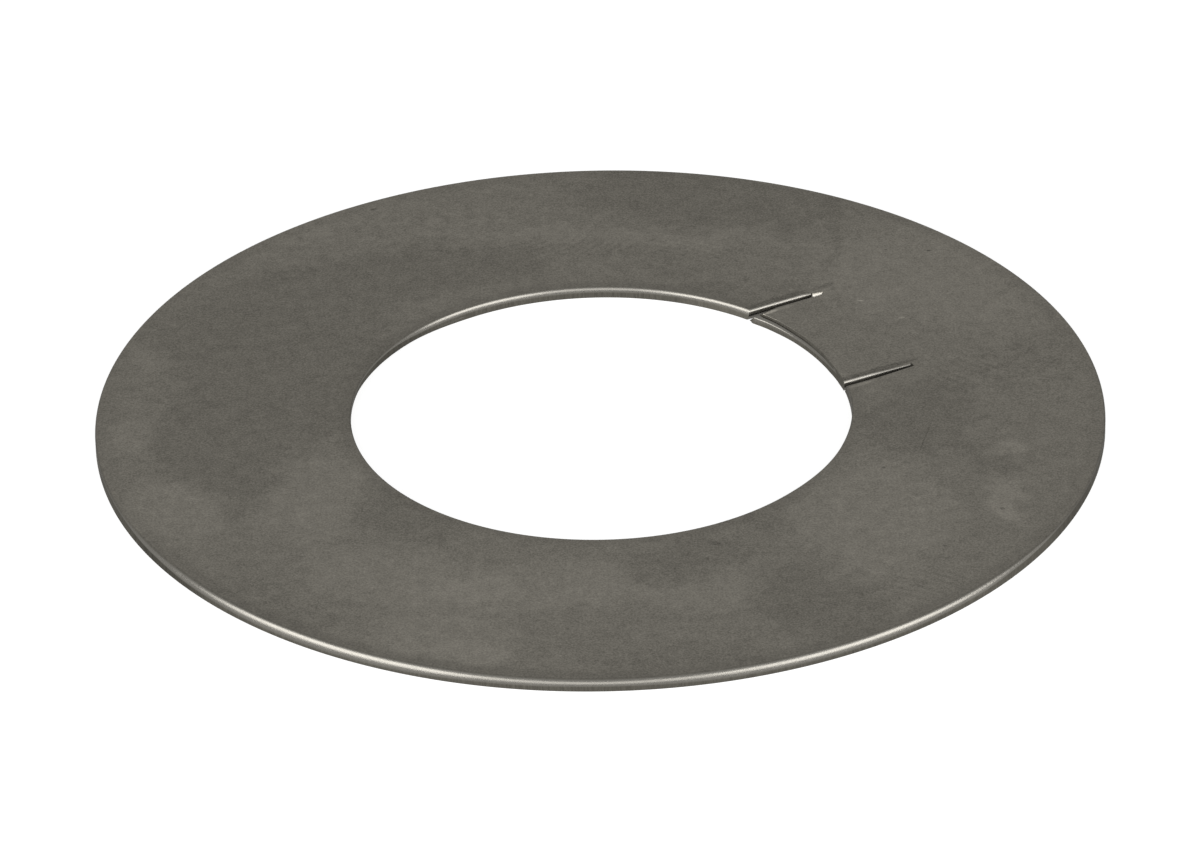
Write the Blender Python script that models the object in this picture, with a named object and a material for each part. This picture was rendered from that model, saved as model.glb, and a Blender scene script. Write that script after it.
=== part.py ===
"""Tab lock washer: a flat ring punched from sheet steel, with a lock tab freed by two slits from the bore.

The ring is turned from its punched section, whose upper edges are rolled over by the punch and whose
lower edges are sharp. Each slit is then cut by a lofted blade, which leaves a shallow rolled edge on its
left side and a deep one on its right side. The left slit's blade also bevels off the tab's corner at the
bore. Left and right are as seen from the bore's centre. Metres, +Z up. The origin is the centre of the
bore, on the underside that the washer lies on.
"""

from math import cos, pi, radians, sin, sqrt

import bmesh
import bpy
from mathutils import Matrix, Vector

MM = 0.001

# The blank
OUTER_DIAMETER = 50.0 * MM
BORE_DIAMETER = 24.7 * MM
THICKNESS = 0.6 * MM

# The rolled upper edges of the rim and the bore: how far in they start and how far down they reach
RIM_ROLL_WIDTH = 0.3 * MM
RIM_ROLL_DEPTH = 0.3 * MM
BORE_ROLL_WIDTH = 0.22 * MM
BORE_ROLL_DEPTH = 0.25 * MM

# The most of the sheet's thickness that any rolled edge may take
DEEPEST_ROLL = 0.95

# The lock tab: the heading of its axis from +X, how far to the left of the bore's centre that axis passes,
# and the distance between the middles of the two slits at the top
TAB_HEADING = radians(28.2)
TAB_SHIFT = 0.45 * MM
TAB_WIDTH = 8.59 * MM

# The slits, from the bore's edge to their closed ends, the stretch over which they narrow to those ends, and
# how far they lean to the left on their way down through the sheet
LEFT_SLIT_LENGTH = 3.8 * MM
RIGHT_SLIT_LENGTH = 3.95 * MM
SLIT_TAPER = 0.9 * MM
SLIT_GAP = 0.1 * MM
SLIT_END_GAP = 0.07 * MM
SLIT_LEAN = 0.2 * MM

# The rolled edges along the slits: the shallow ones, the deep ones and those at the closed ends
SHALLOW_ROLL_WIDTH = 0.3 * MM
SHALLOW_ROLL_DEPTH = 0.28 * MM
DEEP_ROLL_WIDTH = 0.32 * MM
DEEP_ROLL_DEPTH = 0.36 * MM
END_ROLL_WIDTH = 0.16 * MM
END_ROLL_DEPTH = 0.12 * MM

# The tab's left corner, bevelled off down to the underside, and how far along the slit the bevel fades out
CORNER_WIDTH = 0.55 * MM
CORNER_DEPTH = 0.57 * MM
CORNER_LENGTH = 1.3 * MM

# How full an edge is: 1 for a rolled quarter of an ellipse, 0 for a straight bevel
ROLL_FULLNESS = 1.0
CORNER_FULLNESS = 0.15

# Facets
RING_SEGMENTS = 160
ROLL_SEGMENTS = 5
SHARP_ANGLE = radians(35.0)

# How far a blade runs past the metal, and how much taller than the sheet it draws an edge, so that it meets
# the upper face at an angle and shares no plane with it
BLADE_MARGIN = 1.0 * MM
ROLL_OVERCUT = 0.015 * MM

OUTER_RADIUS = OUTER_DIAMETER / 2
BORE_RADIUS = BORE_DIAMETER / 2


def clear_scene():
    """Remove every object, so that the part stands alone."""
    for item in list(bpy.data.objects):
        bpy.data.objects.remove(item, do_unlink=True)


def dull_steel():
    """Warm-grey sheet steel with a satin surface."""
    material = bpy.data.materials.new("dull_steel")
    material.use_nodes = True
    shader = material.node_tree.nodes["Principled BSDF"]
    shader.inputs["Base Color"].default_value = (0.2, 0.19, 0.165, 1.0)
    shader.inputs["Metallic"].default_value = 1.0
    shader.inputs["Roughness"].default_value = 0.42
    return material


def edge_points(width, depth, fullness=ROLL_FULLNESS):
    """An upper edge as (distance in from the cut, drop below the top), from the cut up to the flat face.

    The drop is limited by the sheet's thickness.
    """
    drop = min(depth, DEEPEST_ROLL * THICKNESS)
    points = []
    for i in range(ROLL_SEGMENTS + 1):
        share = i / ROLL_SEGMENTS
        inward = fullness * (1 - cos(pi / 2 * share)) + (1 - fullness) * share
        risen = fullness * sin(pi / 2 * share) + (1 - fullness) * share
        points.append((width * inward, drop * (1 - risen)))
    return points


def punched_section():
    """The ring's closed section as (radius, height), from the bore's lower edge over the top to the rim's."""
    bore_roll = edge_points(BORE_ROLL_WIDTH, BORE_ROLL_DEPTH)
    rim_roll = edge_points(RIM_ROLL_WIDTH, RIM_ROLL_DEPTH)
    bore_side = [(BORE_RADIUS + inward, THICKNESS - drop) for inward, drop in bore_roll]
    rim_side = [(OUTER_RADIUS - inward, THICKNESS - drop) for inward, drop in reversed(rim_roll)]
    return [(BORE_RADIUS, 0.0)] + bore_side + rim_side + [(OUTER_RADIUS, 0.0)]


def turned_ring():
    """The blank: the punched section, spun once round the bore's axis."""
    bm = bmesh.new()
    corners = [bm.verts.new((radius, 0.0, height)) for radius, height in punched_section()]
    outline = [bm.edges.new(pair) for pair in zip(corners, corners[1:] + corners[:1])]
    bmesh.ops.spin(
        bm,
        geom=corners + outline,
        axis=(0.0, 0.0, 1.0),
        angle=2 * pi,
        steps=RING_SEGMENTS,
        use_merge=True,
    )
    bmesh.ops.recalc_face_normals(bm, faces=bm.faces)
    mesh = bpy.data.meshes.new("washer")
    bm.to_mesh(mesh)
    bm.free()
    mesh.shade_smooth()
    mesh.set_sharp_from_angle(angle=SHARP_ANGLE)
    return mesh


def blade_side(gap, edge):
    """One side of a blade as (distance from its middle, height), from below the sheet to above it."""
    width = edge[-1][0]
    deepest = edge[0][1]
    stretch = (deepest + ROLL_OVERCUT) / deepest
    curve = [(gap / 2 + inward, THICKNESS + ROLL_OVERCUT - drop * stretch) for inward, drop in edge]
    return [(gap / 2, -BLADE_MARGIN)] + curve + [(gap / 2 + width, THICKNESS + BLADE_MARGIN)]


def blade_section(along, gap, left_edge, right_edge):
    """A blade's closed outline at one place along it, seen from the bore."""
    left = blade_side(gap, left_edge)
    right = [(-across, height) for across, height in blade_side(gap, right_edge)]
    lean = SLIT_LEAN / THICKNESS
    outline = left + right[::-1]
    return [Vector((along, across + lean * (THICKNESS - height), height)) for across, height in outline]


def slit_blade(name, length, offset, corner):
    """The cutter of one slit, lofted from inside the bore to the slit's end.

    offset is how far its middle lies to the left of the bore's centre, and corner is the edge that it leaves
    on its right side at the bore.
    """
    mouth = sqrt(BORE_RADIUS**2 - offset**2)
    end = mouth + length
    shallow = edge_points(SHALLOW_ROLL_WIDTH, SHALLOW_ROLL_DEPTH)
    deep = edge_points(DEEP_ROLL_WIDTH, DEEP_ROLL_DEPTH)
    fine = edge_points(END_ROLL_WIDTH, END_ROLL_DEPTH)
    stations = [
        blade_section(mouth - 2 * BLADE_MARGIN, SLIT_GAP, shallow, corner),
        blade_section(mouth, SLIT_GAP, shallow, corner),
        blade_section(mouth + min(CORNER_LENGTH, length / 2), SLIT_GAP, shallow, deep),
        blade_section(end - min(SLIT_TAPER, length / 3), SLIT_GAP, shallow, deep),
        blade_section(end, SLIT_END_GAP, fine, fine),
    ]
    bm = bmesh.new()
    loops = [[bm.verts.new(point) for point in station] for station in stations]
    for near, far in zip(loops, loops[1:]):
        for i in range(len(near)):
            bm.faces.new((near[i - 1], near[i], far[i], far[i - 1]))
    bm.faces.new(loops[0])
    bm.faces.new(loops[-1])
    placed = Matrix.Rotation(TAB_HEADING, 4, "Z") @ Matrix.Translation((0.0, offset, 0.0))
    bmesh.ops.transform(bm, matrix=placed, verts=bm.verts)
    bmesh.ops.recalc_face_normals(bm, faces=bm.faces)
    mesh = bpy.data.meshes.new(name)
    bm.to_mesh(mesh)
    bm.free()
    return mesh


def add_object(name, mesh):
    """Put a mesh into the scene as an object."""
    item = bpy.data.objects.new(name, mesh)
    bpy.context.scene.collection.objects.link(item)
    return item


def cut(body, blade):
    """Take a blade's shape out of a body."""
    blade.hide_render = True
    blade.display_type = "WIRE"
    modifier = body.modifiers.new(blade.name, "BOOLEAN")
    modifier.operation = "DIFFERENCE"
    modifier.solver = "EXACT"
    modifier.object = blade


def build():
    """The washer: the turned ring with the tab's two slits cut through it."""
    clear_scene()
    washer = add_object("washer", turned_ring())
    washer.data.materials.append(dull_steel())
    bevelled = edge_points(CORNER_WIDTH, CORNER_DEPTH, CORNER_FULLNESS)
    deep = edge_points(DEEP_ROLL_WIDTH, DEEP_ROLL_DEPTH)
    left = slit_blade("left_slit", LEFT_SLIT_LENGTH, TAB_SHIFT + TAB_WIDTH / 2, bevelled)
    right = slit_blade("right_slit", RIGHT_SLIT_LENGTH, TAB_SHIFT - TAB_WIDTH / 2, deep)
    cut(washer, add_object("left_slit", left))
    cut(washer, add_object("right_slit", right))


build()
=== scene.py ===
"""Looks of the tab lock washer: its fine stamped form, smudged steel, studio light and the photo's view."""

from math import cos, degrees, hypot, pi, radians, sin, sqrt

import bmesh
import bpy
from mathutils import Matrix, Vector


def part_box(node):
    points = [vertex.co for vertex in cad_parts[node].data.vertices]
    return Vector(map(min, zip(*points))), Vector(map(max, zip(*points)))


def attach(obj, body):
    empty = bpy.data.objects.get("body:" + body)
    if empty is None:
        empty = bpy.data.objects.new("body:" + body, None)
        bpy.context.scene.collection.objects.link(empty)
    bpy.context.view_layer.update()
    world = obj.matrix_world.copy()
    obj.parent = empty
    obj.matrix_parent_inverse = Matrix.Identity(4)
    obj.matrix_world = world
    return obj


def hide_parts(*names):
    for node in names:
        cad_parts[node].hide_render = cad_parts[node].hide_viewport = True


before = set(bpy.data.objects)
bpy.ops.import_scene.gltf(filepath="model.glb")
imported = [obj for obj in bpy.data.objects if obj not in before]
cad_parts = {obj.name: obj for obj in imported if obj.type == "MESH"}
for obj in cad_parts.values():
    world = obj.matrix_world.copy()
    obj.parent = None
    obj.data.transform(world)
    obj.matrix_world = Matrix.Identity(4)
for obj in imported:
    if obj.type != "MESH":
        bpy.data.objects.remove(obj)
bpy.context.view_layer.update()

MM = 0.001

# The washer's main sizes, from the frame
LOW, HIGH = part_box("washer")
THICKNESS = HIGH.z - LOW.z
OUTER_RADIUS = (HIGH.x - LOW.x) / 2
BORE_RADIUS = min(hypot(v.co.x, v.co.y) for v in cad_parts["washer"].data.vertices)

# The rolled upper edges of the rim and the bore, as (heading in degrees, (width, depth) in mm)
RIM_ROLL = (
    (-180, (0.10, 0.10)),
    (-160, (0.12, 0.12)),
    (-150, (0.24, 0.26)),
    (-142, (0.30, 0.38)),
    (-126, (0.30, 0.55)),
    (-115, (0.30, 0.55)),
    (-102, (0.30, 0.44)),
    (-90, (0.30, 0.38)),
    (-76, (0.30, 0.48)),
    (-58, (0.30, 0.48)),
    (-45, (0.30, 0.40)),
    (-37, (0.22, 0.24)),
    (-28, (0.12, 0.12)),
    (0, (0.10, 0.10)),
)
BORE_ROLL = (
    (-180, (0.10, 0.10)),
    (9.0, (0.10, 0.10)),
    (10.5, (0.03, 0.04)),
    (50.2, (0.03, 0.04)),
    (51.2, (0.20, 0.38)),
    (65, (0.20, 0.34)),
    (110, (0.20, 0.38)),
    (132, (0.20, 0.34)),
    (150, (0.12, 0.14)),
)

# The flat strip beside each rolled edge that keeps its shading off the rest of the face
FLAT_MARGIN = 0.06 * MM

# The step half way up the bore's cut wall, with its lowest and highest points as shares of the height up to
# the roll. On the tab it is a ledge, right of the tab the whole wall is set back, and on the far left the
# sheet broke away below it. Each stop is (heading, (back, out, lift)): how far in mm the wall lies back
# from the bore's radius above the step and stands out below it, and what to add to both shares.
LEDGE_LOW = 0.40
LEDGE_HIGH = 0.64
LEDGE = (
    (-172, (0.0, 0.0, 0.0)),
    (-45, (0.0, 0.0, 0.0)),
    (-18, (0.11, -0.11, 0.0)),
    (-4, (0.14, -0.14, 0.0)),
    (10.0, (0.11, -0.11, 0.0)),
    (11.4, (0.06, -0.06, 0.0)),
    (15.0, (0.02, -0.02, 0.0)),
    (21.0, (0.0, 0.03, 0.0)),
    (26.0, (0.05, 0.04, 0.0)),
    (36.0, (0.10, 0.05, 0.03)),
    (45.0, (0.14, 0.09, 0.14)),
    (50.2, (0.14, 0.13, 0.16)),
    (51.2, (0.0, 0.0, 0.0)),
    (122, (0.0, 0.0, 0.0)),
    (140, (0.0, -0.14, 0.0)),
    (165, (0.0, -0.15, 0.0)),
)

# The lock tab and its slits. Each slit lies its offset to the left of a line through the bore's centre at
# the tab's heading, starts at the bore's edge and narrows over its taper. The right one is also skewed.
TAB_HEADING = radians(28.2)
LEFT_OFFSET = 4.745 * MM
RIGHT_OFFSET = -3.915 * MM
LEFT_SLIT_LENGTH = 3.55 * MM
RIGHT_SLIT_LENGTH = 3.95 * MM
LEFT_TAPER = 0.25 * MM
RIGHT_TAPER = 2.1 * MM
RIGHT_SKEW = radians(-1.1)
SLIT_GAP = 0.15 * MM
SLIT_END_GAP = 0.07 * MM
SLIT_LEAN = 0.2 * MM

# The edges along the slits, as (width, depth, fullness), where a fullness of 1 is round and 0 is straight.
# The tab's left corner has an edge of its own, which gives way to the deep edge over the corner's length.
SHALLOW_EDGE = (0.40 * MM, 0.38 * MM, 1.0)
DEEP_EDGE = (0.34 * MM, 0.42 * MM, 1.0)
END_EDGE = (0.26 * MM, 0.18 * MM, 1.0)
CORNER_EDGE = (0.55 * MM, 0.57 * MM, 0.15)
CORNER_LENGTH = 1.3 * MM

# The dent past the left slit's end: its place along and across the tab, its half sizes at the top, where its
# lowest line starts and ends, how broad its outer end stays, and its depth
DENT_PLACE = (15.20 * MM, 4.55 * MM)
DENT_TURN = radians(-2.0)
DENT_HALF = (0.34 * MM, 0.20 * MM)
DENT_KEEL = (-0.22 * MM, 0.0)
DENT_POINT = 0.6
DENT_DEPTH = 0.30 * MM

# Facets of the fine form
RING_STEPS = 720
EDGE_STEPS = 10
LEDGE_STEPS = 5
SLIT_STEPS = 16
SHARP_ANGLE = radians(35.0)

# How far a blade runs past the metal, and how far above the sheet it draws an edge, so that it shares no
# plane with the upper face
BLADE_MARGIN = 1.0 * MM
EDGE_OVERCUT = 0.015 * MM

# Colours of the steel, and of the painted shade beside the rim and the bore, in linear light
TOP_STEEL = (0.1478, 0.1390, 0.1200)
EDGE_STEEL = (0.150, 0.143, 0.128)
WALL_STEEL = (0.084, 0.079, 0.067)
PAINTED_SHADE_COLOUR = (0.065, 0.061, 0.053)

# How rough the plain face is, how rough it stays at least, and what each unit of tone adds
FACE_ROUGH = 0.60
LEAST_ROUGH = 0.46
ROUGH_PER_TONE = -0.25

# How rough the shoulders are, where the face starts to roll over, and the rolled edges; how far painted
# shade darkens the shoulders against the face; and how much of its sheen the steel keeps at grazing angles
SHOULDER_ROUGH = 0.36
EDGE_ROUGH = 0.28
SHOULDER_PAINTED_SHADE = 0.82
GRAZING_TINT = (0.5, 0.5, 0.5)

# Where one look gives way to the next: the drops below the top at which the shoulders, the rolled edges'
# colour and their smoothness start and are complete, how far a wall's normal may point up or down before
# its look starts to go and is gone, and the height over which the underside's look goes
SHOULDER_DROP = (0.001 * MM, 0.010 * MM)
ROLLED_DROP = (0.03 * MM, 0.08 * MM)
SMOOTH_DROP = (0.03 * MM, 0.10 * MM)
WALL_SLOPE = (0.05, 0.20)
UNDER_HEIGHT = 0.01 * MM

# Noise, as (scale, detail, roughness) in tenths of the outer radius: what makes the smudges' outlines wander
# and what makes them ragged, the clouds and the grain on the face, and the streaks on the sheared walls
WANDER_NOISE = (0.6, 3.0, 0.6)
RAGGED_NOISE = (4.0, 8.0, 0.75)
CLOUD_NOISE = (3.0, 6.0, 0.72)
GRAIN_NOISE = (26.0, 3.0, 0.7)
STREAK_NOISE = (1.0, 3.0, 0.6)

# How much the noise shows: how far the smudges wander, in tenths of the radius, how ragged they are, how
# much clouds and grain lighten and darken the face, and the strength and depth of the grain's bumps
WANDER = (2.0, 2.0, 0.0)
RAGGED = 3.8
CLOUD_TONE = 0.55
GRAIN_TONE = 1.55
GRAIN_STRENGTH = 0.25
GRAIN_DEPTH = 0.02 * MM

# The streaks run up the walls: how finely they lie along each axis, which stretch of the noise they use,
# and how light the wall is at each end of it
STREAK_STRETCH = (30.0, 30.0, 4.0)
STREAK_NOISE_REACH = (0.2, 0.8)
STREAK_LEVELS = (0.75, 1.25)

# How spots fade, as the shares of their half sizes at which they start to fade and are gone: the smudges,
# and all other spots
SMUDGE_FADE = (0.55, 1.35)
SPOT_FADE = (0.5, 1.2)

# Half a spot's height: so much that a spot reaches through the whole sheet
SPOT_HEIGHT = 1000.0

# The flat tones of the smudged face: between which sums of the smudges each one gives way to the next, and
# how much lighter or darker it is
DARK_STEP = (-0.62, -0.18)
DARK_TONE = -0.113
LIGHT_STEP = (0.18, 0.58)
LIGHT_TONE = 0.108
LIGHTEST_STEP = (0.95, 1.40)
LIGHTEST_TONE = 0.12

# Smudges on the upper face, as (x, y, half length, half breadth, turn in degrees, strength), in tenths of
# the outer radius from the bore's centre. A strength above 0 is lighter than the face, and below 0 darker.
SMUDGES = (
    (-6.4, 2.8, 2.5, 3.6, 20, -1.0),
    (-3.4, 5.9, 2.6, 1.0, 12, -1.0),
    (-7.2, -0.8, 1.8, 1.9, 0, -1.0),
    (-7.0, -2.9, 0.7, 0.9, 0, -0.7),
    (-7.2, 6.3, 2.4, 0.7, 42, 0.4),
    (-3.4, 8.0, 2.6, 1.0, 14, 0.25),
    (2.4, 8.6, 3.2, 1.1, -10, -0.9),
    (0.6, 7.05, 3.8, 0.35, -4, 0.7),
    (1.4, 6.0, 1.8, 0.5, -12, -0.3),
    (2.3, 5.15, 0.9, 0.3, -22, -0.9),
    (6.3, 5.2, 2.2, 1.9, -30, 0.8),
    (8.4, 3.4, 1.0, 1.2, 0, 0.4),
    (4.9, 6.9, 0.16, 1.4, -15, -0.75),
    (8.3, 1.5, 1.4, 1.0, 10, -0.4),
    (6.3, -0.6, 1.0, 1.5, -15, -1.2),
    (7.6, -2.5, 0.4, 1.2, 20, -0.7),
    (5.3, -4.3, 1.4, 2.4, -8, 1.0),
    (8.0, -2.1, 0.5, 0.3, 20, 1.6),
    (7.8, -3.9, 0.5, 0.8, 15, 1.9),
    (3.3, -4.4, 0.6, 0.4, 30, -0.6),
    (1.8, -5.6, 1.2, 0.6, 12, -0.75),
    (1.9, -7.0, 1.2, 0.7, 0, 0.8),
    (4.0, -7.4, 1.3, 1.4, 20, -1.1),
    (1.4, -9.3, 1.6, 0.5, 8, -0.5),
    (-1.0, -6.6, 2.2, 0.9, 4, 1.0),
    (-4.0, -6.2, 2.0, 0.9, -12, 0.9),
    (-3.0, -8.4, 1.5, 1.0, -25, 1.0),
    (-2.4, -9.2, 0.9, 0.35, -10, 1.2),
    (-5.6, -3.1, 1.0, 1.9, 0, 0.9),
    (-3.9, -4.0, 0.6, 1.6, 40, -0.7),
    (-8.3, -3.4, 1.2, 1.0, -40, 1.0),
    (-6.6, -6.9, 1.7, 0.8, -42, -0.5),
    (-9.4, -0.9, 0.4, 0.6, 0, 0.8),
    (-9.2, 2.6, 0.4, 0.6, 0, 0.7),
)

# Small crisp marks on the upper face, as (x, y, half length, half breadth, turn in degrees, strength), in
# mm: painted highlights on the slits' edges, painted shade beside the slits, and ticks and specks
MARKS_AND_PAINTED_LIGHT = (
    # Painted highlights on the edges of the slits
    (8.69, 9.45, 0.50, 0.17, 28, 1.00),
    (9.45, 9.86, 0.80, 0.12, 28, 0.35),
    (13.00, 1.95, 0.90, 0.13, 28, 0.42),
    # Painted shade beside the slits
    (9.20, 10.77, 2.60, 0.25, 28.2, -0.28),
    (8.85, 11.45, 2.60, 0.80, 28.2, -0.09),
    (13.68, 3.27, 2.90, 0.22, 27.3, -0.31),
    # Ticks and specks
    (13.36, 10.45, 0.20, 0.05, -15, 0.70),
    (15.36, 8.62, 0.20, 0.08, 10, 0.35),
    (9.89, 11.73, 0.14, 0.12, 0, 0.30),
    (11.75, 12.15, 0.50, 0.24, 45, -0.24),
    (19.34, -10.25, 0.14, 0.12, 0, -0.45),
    (17.08, 15.55, 0.12, 0.10, 0, -0.45),
    (14.87, 15.75, 0.10, 0.08, 0, -0.35),
    (-11.61, 21.12, 0.22, 0.14, 30, -0.35),
    (5.38, -12.95, 0.40, 0.20, -20, -0.25),
    (13.78, -6.17, 0.12, 0.12, 0, -0.30),
    (16.37, -13.57, 0.12, 0.12, 0, -0.30),
    (5.00, -14.34, 0.10, 0.12, 0, -0.30),
    (16.10, -2.80, 2.90, 0.05, 75, -0.12),
)

# Painted light and painted shade on stretches of the sheared walls, in mm as the marks are
WALL_LIGHT_AND_SHADE = (
    (-20.90, -13.40, 3.60, 3.60, 0, -0.22),
    (19.50, -15.50, 5.00, 5.00, 0, 0.18),
    (-10.10, 7.10, 3.00, 3.00, 0, -0.18),
    (6.40, 10.50, 2.60, 2.60, 0, 0.28),
    (10.30, 6.90, 3.00, 3.00, 0, 0.10),
    (24.20, -6.00, 7.00, 7.00, 0, -0.05),
    (-24.30, -5.50, 5.00, 5.00, 0, -0.05),
)

# Painted shade and painted highlights on stretches of the rolled edges, in mm as the marks are: the right
# slit's end, the dent, both slits and stretches of the rim
EDGE_HIGHLIGHTS_AND_SHADE = (
    (14.95, 3.60, 1.50, 0.60, 28, -0.40),
    (11.25, 11.19, 0.60, 0.40, 28, 0.40),
    (9.15, 10.90, 2.40, 0.60, 28.2, 0.15),
    (12.98, 2.88, 1.60, 0.60, 28.2, 0.10),
    (19.50, -15.50, 4.00, 4.00, 0, 0.15),
    (24.20, -6.00, 7.00, 7.00, 0, -0.22),
    (-24.30, -5.50, 5.00, 5.00, 0, -0.10),
)

# Fingerprints on the upper face, as the spot that a print covers and the middle of its ridges' arcs, in mm
PRINTS = (
    ((18.20, 3.30, 2.60, 2.20, 0, 1.0), (23.50, 9.00)),
    ((21.80, 1.50, 1.90, 2.60, 0, 1.0), (21.90, 1.20)),
    ((-1.50, 16.90, 4.20, 1.30, -4, 1.0), (-6.00, 21.50)),
    ((5.20, 16.10, 2.60, 1.10, -8, 1.0), (1.50, 11.00)),
    ((15.30, -17.20, 3.20, 1.60, 35, 1.0), (11.50, -23.50)),
)

# The ridges of a fingerprint: their gap in mm, how much they lighten and darken the face, how they waver,
# and how many radians the wave texture turns through for each unit at a scale of 1
RIDGE_GAP = 0.45
RIDGE_TONE = 0.09
RIDGE_WAVER = {"Distortion": 2.5, "Detail": 2.0, "Detail Scale": 0.8}
WAVE_RATE = 20.0

# Painted shade beside the rim and beside the bore: how far from the edge it starts to fade and is gone, two
# sines of the heading, and how strong the painted shade is at each of them
RIM_PAINTED_SHADE_REACH = (0.5 * MM, 1.1 * MM)
RIM_PAINTED_SHADE_SINES = (-0.8, -0.3)
RIM_PAINTED_SHADE = (0.24, 0.10)
BORE_PAINTED_SHADE_REACH = (0.3 * MM, 1.0 * MM)
BORE_PAINTED_SHADE_SINES = (0.2, 0.7)
BORE_PAINTED_SHADE = (0.18, 0.26)

# The tab keeps clear of the bore's painted shade: how far to either side of its axis the shade starts and
# is complete, and how far along that axis, from the bore's centre, it starts to fade and is gone
UNSHADED_HALF_WIDTH = (4.0 * MM, 4.4 * MM)
UNSHADED_START = (-1.0 * MM, 1.0 * MM)

# The floor: half its size, how far under the washer it lies, its shade under the lamps, and the glow that
# lifts it to white for the camera
FLOOR_HALF = 1.5
FLOOR_GAP = 0.02 * MM
FLOOR_SHADE = 0.45
FLOOR_GLOW = 0.75

# The world's strength as a source of light
WORLD_LIGHT = 0.25

# Soft lamps that face the washer, as (name, heading and elevation in degrees, width, height, radiance), and
# how far away they stand
SOFTBOXES = (
    ("left_box", -147.0, 20.0, 0.46, 0.22, 5.8),
    ("right_box", -35.0, 21.0, 0.43, 0.22, 5.5),
    ("front_box", -90.0, 22.0, 0.36, 0.20, 2.6),
)
LAMP_DISTANCE = 0.42

# The photo's camera
CAMERA_PLACE = (-0.00004, -0.29681, 0.17396)
CAMERA_TURN = (1.0388, 0.0167, -0.0099)
CAMERA_LENS = 208.05
CAMERA_CLIP_START = 0.01


def mixed(first, second, share):
    """A value, or each value of a tuple, that share of the way from first to second."""
    if isinstance(first, tuple):
        return tuple(mixed(a, b, share) for a, b in zip(first, second))
    return first + (second - first) * share


def edge_points(width, depth, fullness):
    """An upper edge as (distance in from the cut, drop below the top), from the cut up to the flat face."""
    points = []
    for i in range(EDGE_STEPS + 1):
        share = i / EDGE_STEPS
        inward = fullness * (1 - cos(pi / 2 * share)) + (1 - fullness) * share
        risen = fullness * sin(pi / 2 * share) + (1 - fullness) * share
        points.append((width * inward, depth * (1 - risen)))
    return points


def at_heading(stops, heading):
    """The value at a heading in degrees, eased between the stops on either side of it, round and round."""
    looped = [(stops[-1][0] - 360, stops[-1][1]), *stops, (stops[0][0] + 360, stops[0][1])]
    for (start, first), (end, second) in zip(looped, looped[1:]):
        if start <= heading <= end:
            share = (heading - start) / (end - start)
            return mixed(first, second, share * share * (3 - 2 * share))
    return stops[0][1]


def margined_roll(width, depth):
    """A rolled edge and the flat strip beside it, as (distance in from the cut, drop below the top)."""
    return edge_points(width, depth, 1.0) + [(width + FLAT_MARGIN, 0.0)]


def ledge_point(lowest, highest, share):
    """A point that share of the way up the rounded ledge between its lowest and highest points."""
    turn = pi / 2 * share
    return (mixed(lowest[0], highest[0], 1 - cos(turn)), mixed(lowest[1], highest[1], sin(turn)))


def ring_section(heading):
    """The ring's closed section as (radius, height), from the bore's foot over the top to the rim's foot."""
    bore_width, bore_depth = at_heading(BORE_ROLL, heading)
    rim_width, rim_depth = at_heading(RIM_ROLL, heading)
    bore_roll = margined_roll(bore_width * MM, bore_depth * MM)
    rim_roll = margined_roll(rim_width * MM, rim_depth * MM)
    back, out, lift = at_heading(LEDGE, heading)
    foot, top = BORE_RADIUS - out * MM, BORE_RADIUS + back * MM
    straight = THICKNESS - bore_depth * MM
    low, high = straight * (LEDGE_LOW + lift), straight * (LEDGE_HIGH + lift)
    ledge = [ledge_point((foot, low), (top, high), i / LEDGE_STEPS) for i in range(LEDGE_STEPS + 1)]
    bore_side = [(top + inward, THICKNESS - drop) for inward, drop in bore_roll]
    rim_side = [(OUTER_RADIUS - inward, THICKNESS - drop) for inward, drop in reversed(rim_roll)]
    return [(foot, 0.0)] + ledge + bore_side + rim_side + [(OUTER_RADIUS, 0.0)]


def bridge(bm, near, far):
    """Join two closed loops of points with faces."""
    for i in range(len(near)):
        bm.faces.new((near[i - 1], near[i], far[i], far[i - 1]))


def finished_mesh(bm, name):
    """Turn a bmesh into a mesh."""
    mesh = bpy.data.meshes.new(name)
    bm.to_mesh(mesh)
    bm.free()
    return mesh


def lofted_ring():
    """The ring before its slits are cut."""
    bm = bmesh.new()
    loops = []
    for i in range(RING_STEPS):
        turn = 2 * pi * i / RING_STEPS - pi
        loop = []
        for radius, height in ring_section(degrees(turn)):
            loop.append(bm.verts.new((radius * cos(turn), radius * sin(turn), height)))
        loops.append(loop)
    for near, far in zip(loops, loops[1:] + loops[:1]):
        bridge(bm, near, far)
    bmesh.ops.recalc_face_normals(bm, faces=bm.faces)
    return finished_mesh(bm, "ring")


def blade_side(gap, edge):
    """One side of a blade as (distance from its middle, height), from below the sheet to above it."""
    width, depth, fullness = edge
    curve = [
        (gap / 2 + inward, THICKNESS + EDGE_OVERCUT - drop)
        for inward, drop in edge_points(width, depth + EDGE_OVERCUT, fullness)
    ]
    return [(gap / 2, -BLADE_MARGIN)] + curve + [(gap / 2 + width, THICKNESS + BLADE_MARGIN)]


def blade_section(along, gap, left_edge, right_edge):
    """A blade's closed outline at one place along it, seen from the bore."""
    outline = blade_side(gap, left_edge)
    outline += [(-across, height) for across, height in reversed(blade_side(gap, right_edge))]
    lean = SLIT_LEAN / THICKNESS
    return [Vector((along, across + lean * (THICKNESS - height), height)) for across, height in outline]


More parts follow.
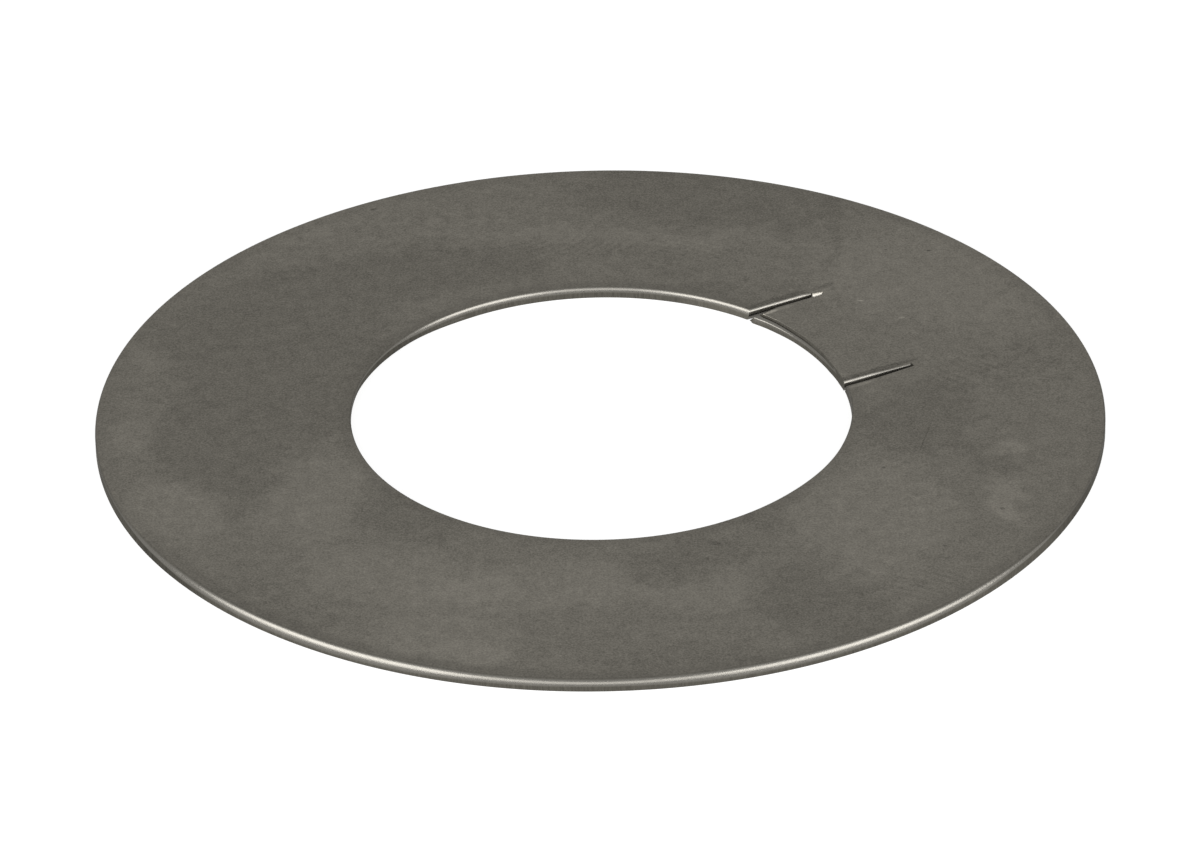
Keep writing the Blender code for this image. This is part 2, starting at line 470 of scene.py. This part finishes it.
def slit_blade(name, length, taper, offset, skew, corner):
    """The cutter of one slit, lofted from inside the bore to the slit's end.

    corner is the edge that it leaves on its right side at the bore.
    """
    mouth = sqrt(BORE_RADIUS**2 - offset**2)
    end = mouth + length
    stations = [blade_section(mouth - 2 * BLADE_MARGIN, SLIT_GAP, SHALLOW_EDGE, corner)]
    for i in range(SLIT_STEPS + 1):
        along = mouth + length * i / SLIT_STEPS
        faded = min(1.0, (along - mouth) / CORNER_LENGTH)
        right_edge = mixed(corner, DEEP_EDGE, faded)
        closing = max(0.0, (along - (end - taper)) / taper)
        gap = mixed(SLIT_GAP, SLIT_END_GAP, closing)
        left_edge = mixed(SHALLOW_EDGE, END_EDGE, closing)
        stations.append(blade_section(along, gap, left_edge, mixed(right_edge, END_EDGE, closing)))
    bm = bmesh.new()
    loops = [[bm.verts.new(point) for point in station] for station in stations]
    for near, far in zip(loops, loops[1:]):
        bridge(bm, near, far)
    bm.faces.new(loops[0])
    bm.faces.new(loops[-1])
    from_mouth = Matrix.Translation((-mouth, 0.0, 0.0))
    turned = Matrix.Translation((mouth, 0.0, 0.0)) @ Matrix.Rotation(skew, 4, "Z") @ from_mouth
    placed = Matrix.Rotation(TAB_HEADING, 4, "Z") @ Matrix.Translation((0.0, offset, 0.0)) @ turned
    bmesh.ops.transform(bm, matrix=placed, verts=bm.verts)
    bmesh.ops.recalc_face_normals(bm, faces=bm.faces)
    return finished_mesh(bm, name)


def dent_cutter():
    """A small keel that dents the upper face past the left slit's end."""
    bm = bmesh.new()
    half_length, half_breadth = DENT_HALF
    spread = 1 + EDGE_OVERCUT / DENT_DEPTH
    corners = [
        bm.verts.new((along * half_length * spread, across * half_breadth * spread, EDGE_OVERCUT))
        for along, across in ((-1, -1), (1, -DENT_POINT), (1, DENT_POINT), (-1, 1))
    ]
    start, end = (bm.verts.new((along, 0.0, -DENT_DEPTH)) for along in DENT_KEEL)
    bm.faces.new(corners)
    bm.faces.new((corners[0], corners[1], end, start))
    bm.faces.new((corners[2], corners[3], start, end))
    bm.faces.new((corners[1], corners[2], end))
    bm.faces.new((corners[3], corners[0], start))
    turned = Matrix.Translation((*DENT_PLACE, THICKNESS)) @ Matrix.Rotation(DENT_TURN, 4, "Z")
    placed = Matrix.Rotation(TAB_HEADING, 4, "Z") @ turned
    bmesh.ops.transform(bm, matrix=placed, verts=bm.verts)
    bmesh.ops.recalc_face_normals(bm, faces=bm.faces)
    return finished_mesh(bm, "dent")


def add_object(name, data):
    """Put a mesh, lamp or camera into the scene as an object."""
    item = bpy.data.objects.new(name, data)
    bpy.context.scene.collection.objects.link(item)
    return item


def stamped_washer():
    """The finely made washer: the ring less its slits and its dent."""
    ring = add_object("ring", lofted_ring())
    left = slit_blade("left_slit", LEFT_SLIT_LENGTH, LEFT_TAPER, LEFT_OFFSET, 0.0, CORNER_EDGE)
    right = slit_blade("right_slit", RIGHT_SLIT_LENGTH, RIGHT_TAPER, RIGHT_OFFSET, RIGHT_SKEW, DEEP_EDGE)
    cutters = [add_object(mesh.name, mesh) for mesh in (left, right, dent_cutter())]
    for cutter in cutters:
        modifier = ring.modifiers.new(cutter.name, "BOOLEAN")
        modifier.operation = "DIFFERENCE"
        modifier.solver = "EXACT"
        modifier.object = cutter
    bpy.context.view_layer.update()
    evaluated = ring.evaluated_get(bpy.context.evaluated_depsgraph_get())
    mesh = bpy.data.meshes.new_from_object(evaluated)
    for item in cutters + [ring]:
        bpy.data.objects.remove(item, do_unlink=True)
    mesh.name = "fine_washer"
    mesh.shade_smooth()
    mesh.set_sharp_from_angle(angle=SHARP_ANGLE)
    washer = add_object("fine_washer", mesh)
    normals = washer.modifiers.new("even_normals", "WEIGHTED_NORMAL")
    normals.keep_sharp = True
    return washer


class Nodes:
    """Short calls for laying out a material's or a world's nodes."""

    def __init__(self, tree):
        self.tree = tree
        tree.nodes.clear()

    def add(self, kind, inputs=None, **settings):
        """A node with its settings and inputs; an input is a value or another node's output."""
        node = self.tree.nodes.new(kind)
        for name, value in settings.items():
            setattr(node, name, value)
        for key, value in (inputs or {}).items():
            self.put(node.inputs[key], value)
        return node

    def put(self, socket, value):
        """Link an output to a socket, or set the socket's value."""
        if isinstance(value, bpy.types.NodeSocket):
            self.tree.links.new(value, socket)
        else:
            socket.default_value = value

    def maths(self, operation, first, second=0.0):
        """The result of a maths node."""
        return self.add("ShaderNodeMath", {0: first, 1: second}, operation=operation).outputs[0]

    def total(self, first, *others):
        """The sum of several values."""
        for other in others:
            first = self.maths("ADD", first, other)
        return first

    def centred(self, share, size):
        """A share from 0 to 1, moved to lie about 0 and stretched to the given size."""
        return self.maths("MULTIPLY", self.maths("SUBTRACT", share, 0.5), size)

    def vector(self, operation, first, second):
        """The result of a vector maths node."""
        return self.add("ShaderNodeVectorMath", {0: first, 1: second}, operation=operation).outputs[0]

    def length(self, vector):
        """A vector's length."""
        return self.add("ShaderNodeVectorMath", {0: vector}, operation="LENGTH").outputs["Value"]

    def along(self, axis, vector):
        """A vector's coordinate along an axis."""
        return self.add("ShaderNodeSeparateXYZ", {0: vector}).outputs[axis]

    def ramp(self, value, low, high, start=0.0, end=1.0):
        """A smooth step from start to end as value goes from low to high."""
        inputs = {"Value": value, "From Min": low, "From Max": high, "To Min": start, "To Max": end}
        return self.add("ShaderNodeMapRange", inputs, interpolation_type="SMOOTHSTEP").outputs["Result"]

    def noise(self, place, scale, detail, rough):
        """The outputs of a noise texture: Fac from 0 to 1, and Color."""
        inputs = {"Vector": place, "Scale": scale, "Detail": detail, "Roughness": rough}
        return self.add("ShaderNodeTexNoise", inputs).outputs

    def blend(self, share, first, second):
        """A colour, that share of the way from first to second."""
        node = self.add("ShaderNodeMix", data_type="RGBA")
        self.put(node.inputs["Factor"], share)
        self.put(node.inputs["A"], first)
        self.put(node.inputs["B"], second)
        return node.outputs["Result"]


def opaque(colour):
    """A colour with full alpha."""
    return (*colour, 1.0)


def spot_sum(nodes, place, spots, fade=SPOT_FADE):
    """The sum of the spots at a place. Each is at full strength in its middle and fades out to its edge."""
    total = 0.0
    for x, y, half_length, half_breadth, turn, strength in spots:
        inputs = {
            "Vector": place,
            "Location": (x, y, 0.0),
            "Rotation": (0.0, 0.0, radians(turn)),
            "Scale": (half_length, half_breadth, SPOT_HEIGHT),
        }
        spot = nodes.add("ShaderNodeMapping", inputs, vector_type="TEXTURE").outputs["Vector"]
        total = nodes.maths("ADD", nodes.ramp(nodes.length(spot), *fade, strength, 0.0), total)
    return total


def smudge_tone(nodes, tenths):
    """How much lighter or darker than plain the smudged face is: flat patches with ragged edges."""
    wandering = nodes.noise(tenths, *WANDER_NOISE)["Color"]
    shift = nodes.vector("MULTIPLY", nodes.vector("SUBTRACT", wandering, (0.5, 0.5, 0.5)), WANDER)
    smudges = spot_sum(nodes, nodes.vector("ADD", tenths, shift), SMUDGES, SMUDGE_FADE)
    field = nodes.total(smudges, nodes.centred(nodes.noise(tenths, *RAGGED_NOISE)["Fac"], RAGGED))
    dark = nodes.ramp(field, *DARK_STEP, DARK_TONE, 0.0)
    light = nodes.ramp(field, *LIGHT_STEP, 0.0, LIGHT_TONE)
    lightest = nodes.ramp(field, *LIGHTEST_STEP, 0.0, LIGHTEST_TONE)
    return nodes.total(dark, light, lightest)


def print_tone(nodes, millimetres):
    """How much lighter or darker fingerprints make the face: arcs of fine ridges, each in its own spot."""
    total = 0.0
    for spot, middle in PRINTS:
        arcs = nodes.vector("SUBTRACT", millimetres, (*middle, 0.0))
        inputs = {"Vector": arcs, "Scale": 2 * pi / (WAVE_RATE * RIDGE_GAP), **RIDGE_WAVER}
        wave = nodes.add("ShaderNodeTexWave", inputs, wave_type="RINGS", rings_direction="Z").outputs["Fac"]
        covered = spot_sum(nodes, millimetres, (spot,))
        total = nodes.maths("ADD", nodes.maths("MULTIPLY", nodes.centred(wave, RIDGE_TONE), covered), total)
    return total


def face_tone(nodes, tenths, millimetres, grain):
    """How much lighter or darker than plain the whole upper face is."""
    return nodes.total(
        smudge_tone(nodes, tenths),
        # The marks include painted highlights and painted shade beside the slits
        spot_sum(nodes, millimetres, MARKS_AND_PAINTED_LIGHT),
        print_tone(nodes, millimetres),
        nodes.centred(nodes.noise(tenths, *CLOUD_NOISE)["Fac"], CLOUD_TONE),
        nodes.centred(grain, GRAIN_TONE),
    )


def off_the_tab(nodes, metres):
    """1 where the bore's edge takes painted shade, and 0 on the tab, which keeps clear of it."""
    turned = nodes.add("ShaderNodeVectorRotate", {0: metres, "Angle": -TAB_HEADING}, rotation_type="Z_AXIS")
    across = nodes.maths("SUBTRACT", nodes.along("Y", turned.outputs[0]), (LEFT_OFFSET + RIGHT_OFFSET) / 2)
    beside = nodes.ramp(nodes.maths("ABSOLUTE", across), *UNSHADED_HALF_WIDTH)
    behind = nodes.ramp(nodes.along("X", turned.outputs[0]), *UNSHADED_START, 1.0, 0.0)
    return nodes.maths("MAXIMUM", beside, behind)


def edge_painted_shade(nodes, metres):
    """How strongly painted shade darkens the face beside the rim and beside the bore."""
    radius = nodes.length(nodes.vector("MULTIPLY", metres, (1.0, 1.0, 0.0)))
    sine = nodes.maths("DIVIDE", nodes.along("Y", metres), radius)
    rim_strength = nodes.ramp(sine, *RIM_PAINTED_SHADE_SINES, *RIM_PAINTED_SHADE)
    bore_strength = nodes.ramp(sine, *BORE_PAINTED_SHADE_SINES, *BORE_PAINTED_SHADE)
    from_rim = nodes.maths("SUBTRACT", OUTER_RADIUS, radius)
    from_bore = nodes.maths("SUBTRACT", radius, BORE_RADIUS)
    rim_band = nodes.ramp(from_rim, *RIM_PAINTED_SHADE_REACH, rim_strength, 0.0)
    bore_band = nodes.ramp(from_bore, *BORE_PAINTED_SHADE_REACH, bore_strength, 0.0)
    return nodes.maths("MAXIMUM", rim_band, nodes.maths("MULTIPLY", bore_band, off_the_tab(nodes, metres)))


def wall_colour(nodes, tenths, millimetres):
    """The sheared walls' streaked colour, with painted light and painted shade on stretches of them."""
    streaks = nodes.noise(nodes.vector("MULTIPLY", tenths, STREAK_STRETCH), *STREAK_NOISE)["Fac"]
    streaked = nodes.ramp(streaks, *STREAK_NOISE_REACH, *STREAK_LEVELS)
    # Painted light and painted shade on stretches of the walls
    level = nodes.total(streaked, spot_sum(nodes, millimetres, WALL_LIGHT_AND_SHADE))
    return nodes.vector("MULTIPLY", WALL_STEEL, level)


def edge_colour(nodes, millimetres):
    """The rolled edges' burnished colour, with painted highlights and painted shade on stretches of them."""
    # Painted highlights and painted shade on stretches of the rolled edges
    level = nodes.total(spot_sum(nodes, millimetres, EDGE_HIGHLIGHTS_AND_SHADE), 1.0)
    return nodes.vector("MULTIPLY", EDGE_STEEL, level)


def steel_roughness(nodes, tone, drop, shoulder, dull):
    """How rough the steel is: smoother on shoulders and rolled edges than on the face and on dull places."""
    toned = nodes.total(nodes.maths("MULTIPLY", tone, ROUGH_PER_TONE), FACE_ROUGH)
    return nodes.total(
        nodes.maths("MAXIMUM", toned, LEAST_ROUGH),
        nodes.ramp(shoulder, 0.0, 1.0, 0.0, SHOULDER_ROUGH - FACE_ROUGH),
        nodes.ramp(drop, *SMOOTH_DROP, 0.0, EDGE_ROUGH - SHOULDER_ROUGH),
        nodes.ramp(dull, 0.0, 1.0, 0.0, FACE_ROUGH - EDGE_ROUGH),
    )


def steel_material():
    """Smudged satin steel with burnished rolled edges, dull sheared walls, painted highlights and shade."""
    material = bpy.data.materials.new("smudged_steel")
    material.use_nodes = True
    nodes = Nodes(material.node_tree)
    coordinates = nodes.add("ShaderNodeTexCoord").outputs
    metres = coordinates["Object"]
    tenths = nodes.vector("MULTIPLY", metres, (10 / OUTER_RADIUS,) * 3)
    millimetres = nodes.vector("MULTIPLY", metres, (1 / MM,) * 3)
    height = nodes.along("Z", metres)
    drop = nodes.maths("SUBTRACT", THICKNESS, height)
    shoulder = nodes.ramp(drop, *SHOULDER_DROP)
    rolled = nodes.ramp(drop, *ROLLED_DROP)
    upright = nodes.maths("ABSOLUTE", nodes.along("Z", coordinates["Normal"]))
    walled = nodes.ramp(upright, *WALL_SLOPE, 1.0, 0.0)
    under = nodes.ramp(height, 0.0, UNDER_HEIGHT, 1.0, 0.0)

    grain = nodes.noise(tenths, *GRAIN_NOISE)["Fac"]
    tone = face_tone(nodes, tenths, millimetres, grain)
    face = nodes.vector("MULTIPLY", TOP_STEEL, nodes.total(tone, 1.0))
    # Painted shade darkens the shoulders, where the face starts to roll over
    shaded = nodes.vector("MULTIPLY", face, nodes.ramp(shoulder, 0.0, 1.0, 1.0, SHOULDER_PAINTED_SHADE))
    # Painted shade darkens the face beside the rim and the bore
    colour = nodes.blend(edge_painted_shade(nodes, metres), shaded, opaque(PAINTED_SHADE_COLOUR))
    colour = nodes.blend(rolled, colour, edge_colour(nodes, millimetres))
    colour = nodes.blend(walled, colour, wall_colour(nodes, tenths, millimetres))
    colour = nodes.blend(under, colour, face)

    dull = nodes.maths("MAXIMUM", walled, under)
    relief = {"Height": grain, "Strength": GRAIN_STRENGTH, "Distance": GRAIN_DEPTH}
    bump = nodes.add("ShaderNodeBump", relief)
    inputs = {
        "Base Color": colour,
        "Metallic": 1.0,
        "Roughness": steel_roughness(nodes, tone, drop, shoulder, dull),
        "Specular Tint": opaque(GRAZING_TINT),
        "Normal": bump.outputs["Normal"],
    }
    shader = nodes.add("ShaderNodeBsdfPrincipled", inputs)
    nodes.add("ShaderNodeOutputMaterial", {"Surface": shader.outputs[0]})
    return material


def seen_directly(nodes):
    """1 for camera, glossy and transmission rays, and 0 for the rays that carry the lamps' light."""
    path = nodes.add("ShaderNodeLightPath").outputs
    seen = nodes.maths("MAXIMUM", path["Is Camera Ray"], path["Is Glossy Ray"])
    return nodes.maths("MAXIMUM", seen, path["Is Transmission Ray"])


def floor_material():
    """White for the camera and in mirrors, but open to the washer's shadow."""
    material = bpy.data.materials.new("white_floor")
    material.use_nodes = True
    nodes = Nodes(material.node_tree)
    diffuse = nodes.add("ShaderNodeBsdfDiffuse", {"Color": opaque((FLOOR_SHADE,) * 3)})
    strength = nodes.maths("MULTIPLY", seen_directly(nodes), FLOOR_GLOW)
    glow = nodes.add("ShaderNodeEmission", {"Strength": strength})
    both = nodes.add("ShaderNodeAddShader", {0: diffuse.outputs[0], 1: glow.outputs[0]})
    nodes.add("ShaderNodeOutputMaterial", {"Surface": both.outputs[0]})
    return material


def add_floor():
    """A plain white floor that keeps the washer's shadow."""
    signs = ((-1, -1), (1, -1), (1, 1), (-1, 1))
    corners = [(x * FLOOR_HALF, y * FLOOR_HALF, -FLOOR_GAP) for x, y in signs]
    mesh = bpy.data.meshes.new("floor")
    mesh.from_pydata(corners, [], [(0, 1, 2, 3)])
    mesh.materials.append(floor_material())
    floor = add_object("floor", mesh)


def add_world():
    """White where it is seen or mirrored, and dimmer as a source of light."""
    world = bpy.data.worlds.new("studio")
    bpy.context.scene.world = world
    world.use_nodes = True
    nodes = Nodes(world.node_tree)
    strength = nodes.ramp(seen_directly(nodes), 0.0, 1.0, WORLD_LIGHT, 1.0)
    background = nodes.add("ShaderNodeBackground", {"Color": opaque((1.0,) * 3), "Strength": strength})
    nodes.add("ShaderNodeOutputWorld", {"Surface": background.outputs[0]})


def add_softbox(name, heading, elevation, width, tall, radiance):
    """A soft rectangular lamp that faces the washer from a heading and an elevation in degrees."""
    light = bpy.data.lights.new(name, "AREA")
    light.shape = "RECTANGLE"
    light.size = width
    light.size_y = tall
    light.energy = radiance * pi * width * tall
    lamp = add_object(name, light)
    flat = LAMP_DISTANCE * cos(radians(elevation))
    rise = LAMP_DISTANCE * sin(radians(elevation))
    lamp.location = (flat * cos(radians(heading)), flat * sin(radians(heading)), rise)
    lamp.rotation_euler = (-lamp.location).to_track_quat("-Z", "Y").to_euler()


def add_camera():
    """The camera, at the photo's viewpoint."""
    data = bpy.data.cameras.new("camera")
    data.lens = CAMERA_LENS
    data.clip_start = CAMERA_CLIP_START
    camera = add_object("camera", data)
    camera.location = CAMERA_PLACE
    camera.rotation_euler = CAMERA_TURN
    bpy.context.scene.camera = camera


bpy.context.scene.view_settings.view_transform = "Standard"
washer = stamped_washer()
washer.data.materials.clear()
washer.data.materials.append(steel_material())
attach(washer, "root")
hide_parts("washer")
add_floor()
add_world()
for softbox in SOFTBOXES:
    add_softbox(*softbox)
add_camera()
